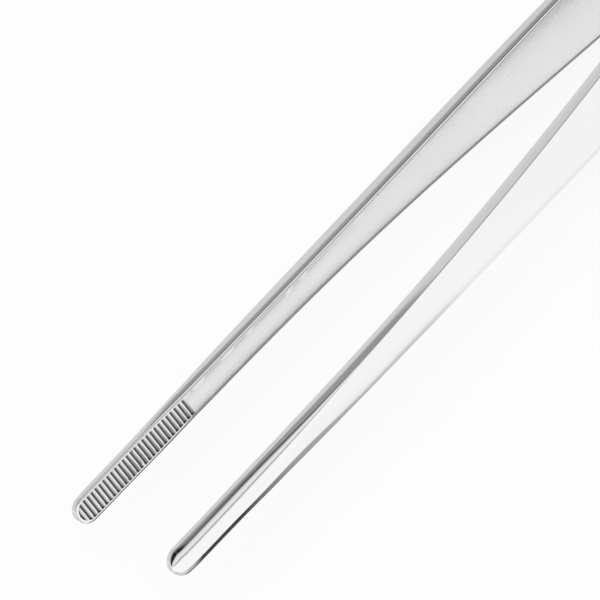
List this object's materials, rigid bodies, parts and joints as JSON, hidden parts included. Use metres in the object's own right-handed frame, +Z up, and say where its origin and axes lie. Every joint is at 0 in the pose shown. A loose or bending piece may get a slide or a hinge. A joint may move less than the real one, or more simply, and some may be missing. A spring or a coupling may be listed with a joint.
{
  "type": "thumb forceps",
  "caption": "Spring thumb forceps: two bowed steel arms welded at the tail, with cross-serrated bull-nose jaws and ribbed grips, for holding dressings or tissue.",
  "frame": {"origin": "centre of the length and of the opening, at the height of the surface that the forceps lie on", "axes": "+X from the jaw tips to the welded tail, +Y across the opening towards the left arm, +Z up through the width of the arms"},
  "size_m": [0.16, 0.0228, 0.009],
  "materials": {
    "steel": "satin inner faces, polished outer faces and edges"
  },
  "bodies": {
    "root": {"left_arm": "steel", "right_arm": "steel"}
  },
  "joints": []
}
